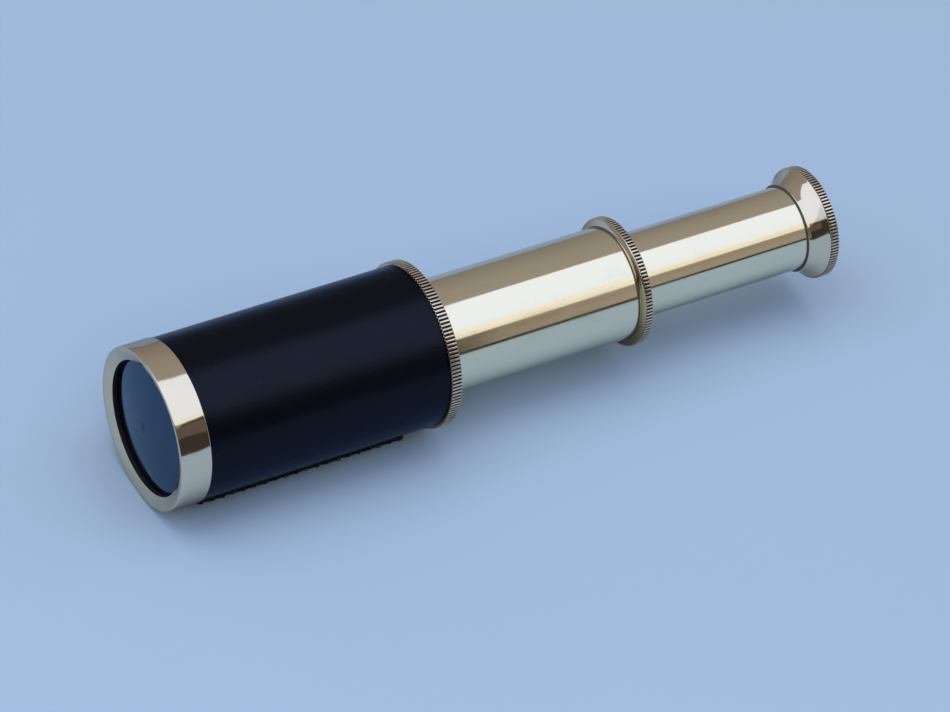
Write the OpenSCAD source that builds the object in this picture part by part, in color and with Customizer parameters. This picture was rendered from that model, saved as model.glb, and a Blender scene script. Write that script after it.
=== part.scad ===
// Pocket spyglass with a leather-covered barrel and two draw tubes, drawn fully out.
// The optical axis lies along X. The object glass faces -X and the eyepiece +X, with +Z up.
// The origin is on the optical axis, halfway along the extended length.
// Every x below is measured from the front plane of the bezel; on_axis() moves it to the origin.

/* [Objective bezel] */
// Height of the bezel band above the leather
bezel_rise = 0.3; // [0.15:0.05:1.5]
// Width of the bezel band
bezel_w = 7.6; // [6.5:0.1:8.2]
// Width of the lip that the glass seats against
mouth_lip = 0.45; // [0.3:0.05:1.5]
// Wall of the bezel's spigot round the glass
bezel_spigot_t = 0.55; // [0.5:0.05:1]
// Depth of the dished face, from the rim to the mouth
dish_depth = 0.85; // [0.3:0.05:1.4]
// Width of the flat land round the dished face
rim_land = 0.5; // [0.3:0.05:1]
// Chamfer on the outer edges of the band
rim_chamfer = 0.25; // [0.1:0.05:0.4]
// Length of the plain wall between the mouth and the glass
mouth_wall = 1.15; // [0.95:0.05:2.2]

/* [Object glass] */
// Radius of curvature of the crown's front face
crown_front_r = 90; // [60:1:140]
// Radius of curvature of the crown's rear face and of the flint's front face
crown_rear_r = 75; // [55:1:120]
// Thickness of the crown at its edge
crown_edge_t = 1.6; // [1:0.1:2.5]
// Thickness of the flint at its centre
flint_centre_t = 1.6; // [1:0.1:2.5]
// Length of the retaining ring
retainer_l = 2.7; // [1.2:0.1:3.5]
// Radial thickness of the retaining ring
retainer_t = 1.5; // [1:0.1:2.5]
// Width of the ring's two spanner slots
spanner_w = 1.6; // [1:0.1:2.5]
// Depth of the ring's two spanner slots
spanner_depth = 0.7; // [0.4:0.1:1]

/* [Barrel] */
// Length of barrel that shows between the bezel and the collar
barrel_l = 61.3; // [50:0.1:80]
// Wall of the barrel tube
barrel_wall = 1.2; // [0.8:0.05:1.25]
// Diameter over the leather
leather_d = 38.2; // [36:0.1:42]
// Thickness of the leather
leather_t = 0.85; // [0.7:0.05:0.95]
// Angle of the seam from straight down, towards -Y
seam_angle = 41; // [15:1:60]
// Height of the raised seam above the leather
seam_h = 1.1; // [0.6:0.1:1.6]
// Thickness of the raised seam, two edges of leather
seam_w = 1.7; // [1.2:0.1:2.4]
// Distance from the bezel to the start of the raised seam
seam_start = 0.6; // [0.2:0.1:5]
// Distance from the end of the raised seam to the collar
seam_end = 7.4; // [2:0.1:15]

/* [Barrel collar] */
// Height of the knurl above the leather
collar_rise = 0.8; // [0.5:0.1:1.5]
// Width of the knurl
collar_knurl_w = 2.5; // [1.5:0.1:4]
// Number of knurl teeth
collar_teeth = 136; // [100:1:160]

/* [First draw] */
// Radial room between the barrel's bore and the tube
draw1_room = 3.38; // [3:0.01:4]
// Wall of the tube
draw1_wall = 0.4; // [0.35:0.05:0.6]
// Length of the drawn-out tube that stays held in the barrel, up to the collar's rear face
draw1_held = 10.4; // [8:0.1:16]
// Width of the stop ring
draw1_stop_w = 1.7; // [1.2:0.1:2.5]
// Height of the collar's knurl above the tube
draw1_collar_rise = 1.95; // [1.7:0.05:2.5]
// Width of the collar's knurl
draw1_knurl_w = 1.8; // [1.2:0.1:3]
// Radius of the collar's rounded front shoulder
draw1_shoulder = 0.7; // [0.4:0.05:1]
// Number of knurl teeth
draw1_teeth = 111; // [80:1:130]
// Depth of the light baffle, inwards from the tube
baffle_depth = 3.75; // [2:0.05:6]

/* [Second draw] */
// Radial room between the first draw's bore and the tube
draw2_room = 3.05; // [2.7:0.05:3.5]
// Wall of the tube
draw2_wall = 0.4; // [0.35:0.05:0.6]
// Length of the drawn-out tube that stays held in the first draw, up to the collar's rear face
draw2_held = 12.6; // [9:0.1:18]
// Width of the stop ring
draw2_stop_w = 1.6; // [1.2:0.1:2.5]
// Space left in front of the second draw when it is pushed in
draw2_nest = 5.4; // [3:0.1:10]

/* [Erector] */
// Length of the erector tube
erector_l = 20; // [16:0.5:30]
// Wall of the erector tube round its lens seats
erector_wall = 0.92; // [0.7:0.01:1.2]
// Width of the shoulder that each lens seats against
erector_shoulder = 0.65; // [0.4:0.05:1.5]
// Radius of curvature of the erector lenses
erector_lens_r = 22; // [18:0.5:40]
// Thickness of the small lenses at their edge
small_edge_t = 1.2; // [0.8:0.1:1.8]
// Length of the small retaining rings
small_ring_l = 1; // [0.8:0.1:1.6]
// Opening of the diaphragm between the erector lenses
erector_stop_d = 4; // [2:0.1:8]
// Thickness of the diaphragms
stop_t = 0.8; // [0.5:0.1:1.2]

/* [Eyepiece] */
// Length of the cup, from the tube to the eye end
cell_l = 6.9; // [6:0.1:10]
// Step from the tube to the neck of the cup
cell_neck_rise = 1.05; // [0.8:0.05:1.5]
// Length of the neck, before the cup flares
cell_neck_l = 0.9; // [0.5:0.1:1.5]
// Height of the knurl above the tube
cell_rise = 3.4; // [3.2:0.1:5]
// Width of the knurl
cell_knurl_w = 2.1; // [1.5:0.1:3]
// Number of knurl teeth
cell_teeth = 106; // [80:1:130]
// Width of the rim round the dished eye face
eye_rim = 1; // [0.9:0.1:2]
// Depth of the dished eye face
eye_dish_depth = 4.2; // [3:0.1:4.4]
// Width of the dish's sloping wall
eye_slope = 2.1; // [1.8:0.1:4]
// Rise of the coned floor from the eye hole to the wall of the dish
eye_floor_rise = 0.8; // [0.2:0.1:1]
// Diameter of the eye hole
eye_hole_d = 9; // [6:0.1:12]
// Thickness of the wall round the eye hole
eye_wall = 1.1; // [0.8:0.1:1.4]
// Length of the cup's spigot in the tube
cell_spigot_l = 6; // [4:0.1:10]
// Wall of the cup's spigot
cell_spigot_t = 0.64; // [0.5:0.02:0.9]
// Wall of the spacer tube
spacer_wall = 0.5; // [0.4:0.05:0.7]
// Length of the spacer tube
spacer_l = 16; // [12:0.5:24]
// Radius of curvature of the field lens
field_lens_r = 20; // [16:0.5:40]
// Radius of curvature of the eye lens
eye_lens_r = 24; // [18:0.5:40]
// Opening of the field stop
field_stop_d = 10; // [6:0.5:13]

/* [Rings and sleeves] */
// Depth of the knurl grooves
knurl_depth = 0.35; // [0.2:0.05:0.5]
// Chamfer at the ends of the knurl
knurl_chamfer = 0.2; // [0.1:0.05:0.35]
// Width of the plain lip behind each knurl
lip_w = 0.3; // [0.2:0.05:0.6]
// Wall of the spring sleeves
sleeve_wall = 0.5; // [0.4:0.05:0.7]
// Length of the sleeves' spring fingers
finger_l = 4.5; // [3:0.1:6]
// Number of spring fingers on a sleeve
finger_count = 4; // [3:1:6]
// Width of the slits between the fingers
slit_w = 0.8; // [0.5:0.1:1.2]
// Length of the collars' spigots
spigot_l = 3.6; // [2:0.1:5]
// Wall of the collars' spigots
spigot_t = 0.9; // [0.6:0.1:1.2]

/* [Fits] */
// Radial clearance of what slides
slide_gap = 0.05; // [0.03:0.01:0.08]
// Radial clearance of what is screwed or pushed together
fix_gap = 0.03; // [0.02:0.01:0.05]
// Gap at the end stops and between seated faces
seat_gap = 0.02; // [0.01:0.01:0.05]

/* [Hidden] */
$fn = 96;
// Fragments of the lens faces, whose radii are large
lens_fn = 480;
// How far a cut runs on past the solid
cut_over = 1;

// Height of a spherical cap of radius R over a circle of radius r
function sag(R, r) = R - sqrt(R * R - r * r);

// Radii of the barrel, from the leather inwards
leather_r = leather_d / 2;
barrel_r = leather_r - leather_t - seat_gap;
barrel_in_r = barrel_r - barrel_wall;
bezel_r = leather_r + bezel_rise;
bezel_spigot_r = barrel_in_r - fix_gap;
seat_r = bezel_spigot_r - bezel_spigot_t;
mouth_r = seat_r - mouth_lip;
lens_r = seat_r - slide_gap;

// Stack of the object glass, from the lip rearwards
x_lip = dish_depth + mouth_wall;
x_crown_apex = x_lip + seat_gap - sag(crown_front_r, mouth_r);
x_crown_edge = x_crown_apex + sag(crown_front_r, lens_r);
x_crown_rear = x_crown_edge + crown_edge_t + sag(crown_rear_r, lens_r);
x_flint_rear = x_crown_rear + seat_gap + flint_centre_t;
x_retainer = x_flint_rear + seat_gap;
x_bezel_end = x_retainer + retainer_l + lip_w;

// Places along the axis, from the front plane of the bezel
x_collar = bezel_w + barrel_l;
x_collar_rear = x_collar + collar_knurl_w + lip_w;
x_draw1 = x_collar_rear - draw1_held;
draw1_travel = x_draw1 - x_bezel_end - lip_w;
x_draw1_collar = x_collar_rear + draw1_travel + seat_gap;
x_draw1_rear = x_draw1_collar + draw1_shoulder + draw1_knurl_w + lip_w;
x_draw2 = x_draw1_rear - draw2_held;
draw2_travel = x_draw2 - x_draw1 - draw2_nest;
x_cell = x_draw1_rear + draw2_travel + seat_gap;
x_eye = x_cell + cell_l;
mid_x = x_eye / 2;

// Radii of the draws
draw1_r = barrel_in_r - draw1_room;
draw1_in_r = draw1_r - draw1_wall;
draw2_r = draw1_in_r - draw2_room;
draw2_in_r = draw2_r - draw2_wall;

// Share of the knurl's pitch that its crest and each flank take
crest_share = 0.42;
flank_share = 0.16;

// Erector cartridge
erector_r = draw2_in_r - fix_gap;
erector_seat_r = erector_r - erector_wall;
erector_bore_r = erector_seat_r - erector_shoulder;
erector_lens_rim = erector_seat_r - slide_gap;
erector_lip = sag(erector_lens_r, erector_lens_rim) - sag(erector_lens_r, erector_bore_r);
erector_seat_depth = small_ring_l + seat_gap + small_edge_t + erector_lip + seat_gap;
x_erector = x_draw2 + lip_w;
x_erector_mid = x_erector + erector_l / 2;

// Eyepiece
cell_r = draw2_r + cell_rise;
cell_neck_r = draw2_r + cell_neck_rise;
cell_spigot_r = draw2_in_r - fix_gap;
cell_bore_r = cell_spigot_r - cell_spigot_t;
eye_dish_r = cell_r - eye_rim;
x_eye_seat = x_eye - eye_dish_depth - eye_floor_rise - eye_wall;
spacer_r = cell_bore_r - fix_gap;
spacer_in_r = spacer_r - spacer_wall;
eye_lens_rim = spacer_r - seat_gap;
field_lens_rim = spacer_in_r - slide_gap;
eye_lens_lip = sag(eye_lens_r, eye_lens_rim) - sag(eye_lens_r, spacer_in_r);
x_spacer_rear = x_eye_seat - seat_gap - small_edge_t - eye_lens_lip - seat_gap;
x_spacer = x_spacer_rear - spacer_l;
field_shoulder_r = field_lens_rim - spacer_wall;
x_field_ring = x_spacer + lip_w;
x_field_lens = x_field_ring + small_ring_l + seat_gap + sag(field_lens_r, field_lens_rim);
x_field_shoulder = x_field_lens + small_edge_t + seat_gap;
x_field_stop = (x_field_shoulder + stop_t + x_spacer_rear) / 2;

// Puts a shape that is turned about Z on the optical axis, its z = 0 at x
module on_axis(x) {
    translate([x - mid_x, 0, 0])
        rotate([0, 90, 0])
            children();
}

// A piece turned from an outline of [radius, length] points
module turned(outline) {
    rotate_extrude()
        polygon(outline);
}

// A plain tube or ring
module ring(outer_r, inner_r, length) {
    turned([[inner_r, 0], [outer_r, 0], [outer_r, length], [inner_r, length]]);
}

// The toothed outline of a straight knurl
function knurl_outline(crest_r, teeth) = [
    for (i = [0:teeth - 1])
        for (p = [[0, 0], [crest_share, 0], [crest_share + flank_share, 1], [1 - flank_share, 1]])
            let (angle = 360 * (i + p[0]) / teeth, r = crest_r - p[1] * knurl_depth)
                [r * cos(angle), r * sin(angle)]];

// A knurled band with chamfered ends and a round hole
module knurl(crest_r, hole_r, teeth, width) {
    intersection() {
        difference() {
            linear_extrude(height = width)
                polygon(knurl_outline(crest_r, teeth));
            translate([0, 0, -cut_over])
                cylinder(r = hole_r, h = width + 2 * cut_over);
        }
        turned([
            [0, 0], [crest_r - knurl_chamfer, 0], [crest_r, knurl_chamfer],
            [crest_r, width - knurl_chamfer], [crest_r - knurl_chamfer, width], [0, width]]);
    }
}

// The plain lip that closes a knurl, chamfered at its end
module lip(crest_r, hole_r) {
    root_r = crest_r - knurl_depth;
    turned([
        [hole_r, 0], [root_r, 0], [root_r, lip_w / 2],
        [root_r - lip_w / 2, lip_w], [hole_r, lip_w]]);
}

// A spring sleeve with slits from its front end
module guide_sleeve(tube_r, length) {
    inner_r = tube_r + slide_gap;
    outer_r = inner_r + sleeve_wall;
    difference() {
        ring(outer_r, inner_r, length);
        for (i = [0:finger_count - 1])
            rotate([0, 0, 360 * (i + 0.5) / finger_count])
                translate([tube_r - cut_over, -slit_w / 2, -cut_over])
                    cube([outer_r - tube_r + 2 * cut_over, slit_w, finger_l + cut_over]);
    }
}

// Radius of the hole that a guide sleeve for this tube sits in
function sleeve_hole(tube_r) = tube_r + slide_gap + sleeve_wall + fix_gap;

// A threaded ring with two spanner slots across its rear face
module spanner_ring(outer_r, inner_r, length, slot_w, slot_depth) {
    difference() {
        ring(outer_r, inner_r, length);
        translate([-outer_r - cut_over, -slot_w / 2, length - slot_depth])
            cube([2 * (outer_r + cut_over), slot_w, slot_depth + cut_over]);
    }
}

// A lens with a flat face at z = 0 and a convex face towards +Z
module plano_convex(rim_r, face_r, edge_t) {
    height = edge_t + sag(face_r, rim_r);
    intersection() {
        cylinder(r = rim_r, h = height);
        translate([0, 0, height - face_r])
            sphere(r = face_r, $fn = lens_fn);
    }
}

module objective_bezel() {
    color("#e2c48d")
        on_axis(0)
            turned([
                [mouth_r, dish_depth], [bezel_r - rim_chamfer - rim_land, 0],
                [bezel_r - rim_chamfer, 0], [bezel_r, rim_chamfer],
                [bezel_r, bezel_w - rim_chamfer], [bezel_r - rim_chamfer, bezel_w],
                [bezel_spigot_r, bezel_w], [bezel_spigot_r, x_bezel_end], [seat_r, x_bezel_end],
                [seat_r, x_lip], [mouth_r, x_lip]]);
}

module objective_crown() {
    color("#a9c0cf")
        on_axis(x_crown_apex)
            intersection() {
                cylinder(r = lens_r, h = x_crown_rear - x_crown_apex);
                translate([0, 0, crown_front_r])
                    sphere(r = crown_front_r, $fn = lens_fn);
                translate([0, 0, x_crown_rear - x_crown_apex - crown_rear_r])
                    sphere(r = crown_rear_r, $fn = lens_fn);
            }
}

module objective_flint() {
    x_edge = x_crown_edge + crown_edge_t + seat_gap;
    color("#8fa9bd")
        on_axis(x_edge)
            difference() {
                cylinder(r = lens_r, h = x_flint_rear - x_edge);
                translate([0, 0, x_crown_rear + seat_gap - x_edge - crown_rear_r])
                    sphere(r = crown_rear_r, $fn = lens_fn);
            }
}

module objective_retaining_ring() {
    outer_r = seat_r - fix_gap;
    color("#3b3328")
        on_axis(x_retainer)
            spanner_ring(outer_r, outer_r - retainer_t, retainer_l, spanner_w, spanner_depth);
}

module barrel_tube() {
    color("#c9a968")
        on_axis(bezel_w)
            ring(barrel_r, barrel_in_r, barrel_l);
}

module leather_wrap() {
    color("#141a26")
        on_axis(bezel_w) {
            ring(leather_r, leather_r - leather_t, barrel_l);
            // The two edges of the leather, turned out and closed by a rounded top
            rotate([0, 0, -seam_angle])
                translate([0, 0, seam_start])
                    linear_extrude(height = barrel_l - seam_start - seam_end)
                        translate([leather_r, 0]) {
                            translate([-leather_t / 2, -seam_w / 2])
                                square([leather_t / 2 + seam_h - seam_w / 2, seam_w]);
                            translate([seam_h - seam_w / 2, 0])
                                circle(r = seam_w / 2);
                        }
        }
}

// A knurled collar with a plain rear lip and a thin spigot in the tube ahead of it
module spigot(tube_in_r) {
    outer_r = tube_in_r - fix_gap;
    translate([0, 0, -spigot_l])
        ring(outer_r, outer_r - spigot_t, spigot_l);
}

module barrel_collar() {
    crest_r = leather_r + collar_rise;
    hole_r = sleeve_hole(draw1_r);
    color("#d8bd86")
        on_axis(x_collar) {
            knurl(crest_r, hole_r, collar_teeth, collar_knurl_w);
            translate([0, 0, collar_knurl_w])
                lip(crest_r, hole_r);
            spigot(barrel_in_r);
        }
}

module barrel_guide_sleeve() {
    x_front = x_draw1 + draw1_stop_w + seat_gap;
    color("#b8995c")
        on_axis(x_front)
            guide_sleeve(draw1_r, x_collar_rear - lip_w - x_front);
}

module draw1_tube() {
    color("#dcc48a")
        on_axis(x_draw1)
            ring(draw1_r, draw1_in_r, x_draw1_collar - x_draw1);
}

module draw1_stop_ring() {
    color("#b8995c")
        on_axis(x_draw1)
            ring(barrel_in_r - slide_gap, draw1_r + fix_gap, draw1_stop_w);
}

module draw1_baffle() {
    color("#20201f")
        on_axis(x_draw1 + lip_w)
            ring(draw1_in_r - fix_gap, draw1_in_r - baffle_depth, stop_t);
}

module draw1_collar() {
    crest_r = draw1_r + draw1_collar_rise;
    hole_r = sleeve_hole(draw2_r);
    core_r = crest_r - knurl_depth - draw1_shoulder;
    color("#d8bd86")
        on_axis(x_draw1_collar) {
            // Rounded front shoulder
            rotate_extrude() {
                translate([hole_r, 0])
                    square([core_r - hole_r, draw1_shoulder]);
                intersection() {
                    translate([core_r, draw1_shoulder])
                        circle(r = draw1_shoulder);
                    translate([core_r, 0])
                        square(draw1_shoulder);
                }
            }
            translate([0, 0, draw1_shoulder])
                knurl(crest_r, hole_r, draw1_teeth, draw1_knurl_w);
            translate([0, 0, draw1_shoulder + draw1_knurl_w])
                lip(crest_r, hole_r);
            spigot(draw1_in_r);
        }
}

module draw1_guide_sleeve() {
    x_front = x_draw2 + draw2_stop_w + seat_gap;
    color("#b8995c")
        on_axis(x_front)
            guide_sleeve(draw2_r, x_draw1_rear - lip_w - x_front);
}

module draw2_tube() {
    color("#dcc48a")
        on_axis(x_draw2)
            ring(draw2_r, draw2_in_r, x_cell - x_draw2);
}

module draw2_stop_ring() {
    color("#b8995c")
        on_axis(x_draw2)
            ring(draw1_in_r - slide_gap, draw2_r + fix_gap, draw2_stop_w);
}

module erector_tube() {
    far = erector_l - erector_seat_depth;
    color("#2a2a2c")
        on_axis(x_erector)
            turned([
                [erector_seat_r, 0], [erector_r, 0], [erector_r, erector_l],
                [erector_seat_r, erector_l], [erector_seat_r, far], [erector_bore_r, far],
                [erector_bore_r, erector_seat_depth], [erector_seat_r, erector_seat_depth]]);
}

module erector_front_lens() {
    color("#b9cdd6")
        on_axis(x_erector + small_ring_l + seat_gap)
            plano_convex(erector_lens_rim, erector_lens_r, small_edge_t);
}

module erector_rear_lens() {
    color("#b9cdd6")
        on_axis(x_erector + erector_l - small_ring_l - seat_gap)
            mirror([0, 0, 1])
                plano_convex(erector_lens_rim, erector_lens_r, small_edge_t);
}

// Retaining ring in the mouth of an erector lens seat
module erector_ring() {
    outer_r = erector_seat_r - fix_gap;
    spanner_ring(outer_r, erector_bore_r, small_ring_l, spanner_w, small_ring_l / 2);
}

module erector_front_ring() {
    color("#2a2a2c")
        on_axis(x_erector + small_ring_l)
            mirror([0, 0, 1])
                erector_ring();
}

module erector_rear_ring() {
    color("#2a2a2c")
        on_axis(x_erector + erector_l - small_ring_l)
            erector_ring();
}

module erector_stop() {
    color("#20201f")
        on_axis(x_erector_mid - stop_t / 2)
            ring(erector_bore_r - fix_gap, erector_stop_d / 2, stop_t);
}

module eyepiece_cell() {
    root_r = cell_r - knurl_depth;
    knurl_x = cell_l - lip_w - cell_knurl_w;
    flare_l = knurl_x - cell_neck_l;
    flare_h = root_r - cell_neck_r;
    // The flare's outline is an arc that leaves the neck without a corner
    flare_arc = (flare_l * flare_l + flare_h * flare_h) / (2 * flare_h);
    hole_r = eye_hole_d / 2;
    x_seat = x_eye_seat - x_cell;
    x_dish = x_seat + eye_wall;
    color("#d8bd86")
        on_axis(x_cell) {
            // Cup with its spigot, neck and flare, the eye lens seat and the dished eye face
            rotate_extrude()
                difference() {
                    polygon([
                        [cell_bore_r, -cell_spigot_l], [cell_spigot_r, -cell_spigot_l],
                        [cell_spigot_r, 0], [cell_neck_r, 0], [cell_neck_r, cell_neck_l],
                        [root_r, cell_neck_l], [root_r, cell_l - lip_w / 2],
                        [root_r - lip_w / 2, cell_l], [eye_dish_r, cell_l],
                        [eye_dish_r - eye_slope, cell_l - eye_dish_depth],
                        [hole_r, x_dish], [hole_r, x_seat],
                        [cell_bore_r, x_seat]]);
                    intersection() {
                        translate([cell_neck_r + flare_arc, cell_neck_l])
                            circle(r = flare_arc);
                        translate([cell_neck_r, cell_neck_l - cut_over])
                            square([flare_h + cut_over, flare_l + cut_over]);
                    }
                }
            translate([0, 0, knurl_x])
                knurl(cell_r, root_r - knurl_depth, cell_teeth, cell_knurl_w);
        }
}

module eyepiece_spacer() {
    shoulder = x_field_shoulder - x_spacer;
    color("#2a2a2c")
        on_axis(x_spacer)
            turned([
                [spacer_in_r, 0], [spacer_r, 0], [spacer_r, spacer_l], [spacer_in_r, spacer_l],
                [spacer_in_r, shoulder + stop_t], [field_shoulder_r, shoulder + stop_t],
                [field_shoulder_r, shoulder], [spacer_in_r, shoulder]]);
}

module field_lens() {
    color("#b9cdd6")
        on_axis(x_field_shoulder - seat_gap)
            mirror([0, 0, 1])
                plano_convex(field_lens_rim, field_lens_r, small_edge_t);
}

module field_lens_ring() {
    outer_r = spacer_in_r - fix_gap;
    x_ring = x_field_lens - seat_gap - sag(field_lens_r, field_lens_rim)
        + sag(field_lens_r, field_shoulder_r) - small_ring_l;
    color("#2a2a2c")
        on_axis(x_ring + small_ring_l)
            mirror([0, 0, 1])
                spanner_ring(outer_r, field_shoulder_r, small_ring_l, spanner_w, small_ring_l / 2);
}

module field_stop() {
    color("#20201f")
        on_axis(x_field_stop - stop_t / 2)
            ring(spacer_in_r - fix_gap, field_stop_d / 2, stop_t);
}

module eye_lens() {
    color("#b9cdd6")
        on_axis(x_eye_seat - seat_gap)
            mirror([0, 0, 1])
                plano_convex(eye_lens_rim, eye_lens_r, small_edge_t);
}

objective_bezel();
objective_crown();
objective_flint();
objective_retaining_ring();
barrel_tube();
leather_wrap();
barrel_collar();
barrel_guide_sleeve();
draw1_tube();
draw1_stop_ring();
draw1_baffle();
draw1_collar();
draw1_guide_sleeve();
draw2_tube();
draw2_stop_ring();
erector_tube();
erector_front_lens();
erector_front_ring();
erector_stop();
erector_rear_lens();
erector_rear_ring();
eyepiece_cell();
eyepiece_spacer();
field_lens();
field_lens_ring();
field_stop();
eye_lens();
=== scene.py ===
"""Dresses the packed spyglass in polished brass, milled rings, stitched leather and coated glass."""

import math

import bpy
from bpy.props import FloatProperty, FloatVectorProperty, IntProperty, PointerProperty
from bpy.types import Operator, Panel, PropertyGroup
from mathutils import Matrix, Vector, noise


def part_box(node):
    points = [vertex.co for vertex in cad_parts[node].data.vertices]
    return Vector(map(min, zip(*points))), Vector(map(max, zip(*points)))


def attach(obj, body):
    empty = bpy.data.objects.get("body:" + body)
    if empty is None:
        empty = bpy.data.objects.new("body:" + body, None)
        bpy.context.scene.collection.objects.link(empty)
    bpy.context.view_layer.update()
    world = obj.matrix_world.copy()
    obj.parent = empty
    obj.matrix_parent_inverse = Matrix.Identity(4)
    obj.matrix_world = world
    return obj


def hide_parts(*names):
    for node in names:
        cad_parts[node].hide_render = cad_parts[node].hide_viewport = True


bl_info = {
    "name": "Spyglass",
    "version": (1, 0, 0),
    "blender": (4, 5, 0),
    "location": "3D View > Sidebar > Spyglass",
    "description": "Models the finished pieces of a leather-covered spyglass over its solid parts",
    "category": "Object",
}

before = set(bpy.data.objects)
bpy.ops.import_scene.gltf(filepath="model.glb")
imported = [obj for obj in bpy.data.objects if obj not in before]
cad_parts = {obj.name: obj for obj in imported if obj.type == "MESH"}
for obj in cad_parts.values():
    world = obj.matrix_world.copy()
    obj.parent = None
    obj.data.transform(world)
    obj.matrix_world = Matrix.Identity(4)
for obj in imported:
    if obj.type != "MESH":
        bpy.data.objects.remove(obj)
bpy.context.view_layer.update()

MM = 0.001
MERGE = 1e-6
# Steps round a turned piece, and round one whose long plain side shows its steps most
TURN_STEPS = 192
FINE_TURN_STEPS = 256
# Places along the optical axis, from the solids
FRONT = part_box("objective_bezel")[0].x
LEATHER = (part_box("leather_wrap")[0].x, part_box("leather_wrap")[1].x)
COLLAR = (LEATHER[1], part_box("barrel_collar")[1].x)
DRAW_1 = (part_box("draw1_tube")[0].x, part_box("draw1_tube")[1].x)
DRAW_1_COLLAR = (DRAW_1[1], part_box("draw1_collar")[1].x)
DRAW_2 = (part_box("draw2_tube")[0].x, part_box("draw2_tube")[1].x)
CUP = (DRAW_2[1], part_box("eyepiece_cell")[1].x)
# The leather with its glue, and the walls of the tubes
LEATHER_RISE = 0.87 * MM
BARREL_WALL = 1.2 * MM
DRAW_WALL = 0.4 * MM
# Radii, from the solids
BEZEL_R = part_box("objective_bezel")[1].z
LEATHER_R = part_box("barrel_tube")[1].z + LEATHER_RISE
COLLAR_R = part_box("barrel_collar")[1].z
DRAW_1_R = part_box("draw1_tube")[1].z
DRAW_1_COLLAR_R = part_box("draw1_collar")[1].z
DRAW_2_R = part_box("draw2_tube")[1].z
CUP_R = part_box("eyepiece_cell")[1].z
BARREL_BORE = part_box("barrel_tube")[1].z - BARREL_WALL
# Fits of the turned rings: a spigot's play in its tube, its wall, and the room for a draw's spring sleeve
SPIGOT_PLAY = 0.03 * MM
SPIGOT_WALL = 0.9 * MM
SLEEVE_ROOM = 0.58 * MM
# Chamfer on the rear edge of a milled ring, and how far its teeth end ahead of its rear face
REAR_CHAMFER = 0.15 * MM
TEETH_END = 0.2 * MM
# Corners sharper than this stay sharp on a ring with teeth, in degrees
TOOTH_CORNER = 34
# Tints of the brass at a glancing view
TUBE_EDGE = (0.75, 0.75, 0.78)
RING_EDGE = (0.55, 0.55, 0.60)


class SpyglassBrass(PropertyGroup):
    """Colours and wear of the brass"""
    tube_colour: FloatVectorProperty(
        name="Draw tubes", description="Colour of the polished draw tubes",
        subtype="COLOR", size=3, min=0, max=1, default=(0.82, 0.755, 0.55))
    ring_colour: FloatVectorProperty(
        name="Rings", description="Colour of the bezel, collars and eyepiece",
        subtype="COLOR", size=3, min=0, max=1, default=(0.76, 0.67, 0.49))
    tarnish_colour: FloatVectorProperty(
        name="Tarnish", description="Colour of faint stains in the polish",
        subtype="COLOR", size=3, min=0, max=1, default=(0.64, 0.46, 0.23))
    # Also the colour of the painted shade under the draw collar's shoulder
    patina_colour: FloatVectorProperty(
        name="Patina", description="Colour of the brown skin where a cloth doesn't reach",
        subtype="COLOR", size=3, min=0, max=1, default=(0.28, 0.21, 0.11))
    # Also the colour of the painted shade between the teeth
    groove_colour: FloatVectorProperty(
        name="Grooves", description="Colour of old polish and dirt between the teeth and in the joints",
        subtype="COLOR", size=3, min=0, max=1, default=(0.014, 0.011, 0.007))
    inner_colour: FloatVectorProperty(
        name="Inner brass", description="Colour of the unpolished inner fittings",
        subtype="COLOR", size=3, min=0, max=1, default=(0.55, 0.40, 0.20))
    lining_colour: FloatVectorProperty(
        name="Lining", description="Colour of the blackened insides",
        subtype="COLOR", size=3, min=0, max=1, default=(0.008, 0.008, 0.009))
    polish: FloatProperty(
        name="Polish", description="Roughness of the polished brass",
        subtype="FACTOR", min=0.02, max=0.5, default=0.07)


class SpyglassKnurl(PropertyGroup):
    """Sizes of the milled edges"""
    barrel_teeth: IntProperty(
        name="Barrel collar teeth", description="Number of teeth round the barrel collar",
        min=60, max=200, default=136)
    draw_teeth: IntProperty(
        name="Draw collar teeth", description="Number of teeth round the first draw's collar",
        min=60, max=200, default=111)
    eye_teeth: IntProperty(
        name="Eyepiece teeth", description="Number of teeth round the eyepiece",
        min=60, max=200, default=106)
    depth: FloatProperty(
        name="Tooth depth", description="Depth of the grooves between the teeth",
        subtype="DISTANCE", unit="LENGTH", min=0.1 * MM, max=0.8 * MM, precision=5, default=0.35 * MM)
    share: FloatProperty(
        name="Tooth share", description="Share of the pitch that a tooth takes at its foot",
        subtype="FACTOR", min=0.3, max=0.9, default=0.59)


class SpyglassLeather(PropertyGroup):
    """Sizes and colours of the leather and its seam"""
    colour: FloatVectorProperty(
        name="Leather", description="Colour that the dyed and polished leather reflects",
        subtype="COLOR", size=3, min=0, max=1, default=(0.0130, 0.0150, 0.0212))
    edge_colour: FloatVectorProperty(
        name="Cut edge", description="Colour of the leather's cut edges along the seam",
        subtype="COLOR", size=3, min=0, max=1, default=(0.006, 0.005, 0.005))
    thread_colour: FloatVectorProperty(
        name="Thread", description="Colour of the waxed thread",
        subtype="COLOR", size=3, min=0, max=1, default=(0.005, 0.005, 0.006))
    thickness: FloatProperty(
        name="Thickness", description="Thickness of the leather",
        subtype="DISTANCE", unit="LENGTH", min=0.3 * MM, max=1.5 * MM, precision=5, default=0.82 * MM)
    seam_angle: FloatProperty(
        name="Seam angle", description="Angle of the seam from straight down, towards the front of the view",
        subtype="ANGLE", min=0, max=math.pi, default=math.radians(41))
    seam_height: FloatProperty(
        name="Seam height", description="Height of the turned-out edges above the leather",
        subtype="DISTANCE", unit="LENGTH", min=0.2 * MM, max=2 * MM, precision=5, default=0.90 * MM)
    stitch_pitch: FloatProperty(
        name="Stitch pitch", description="Distance from stitch to stitch",
        subtype="DISTANCE", unit="LENGTH", min=1.5 * MM, max=6 * MM, precision=5, default=2.7 * MM)


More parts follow.
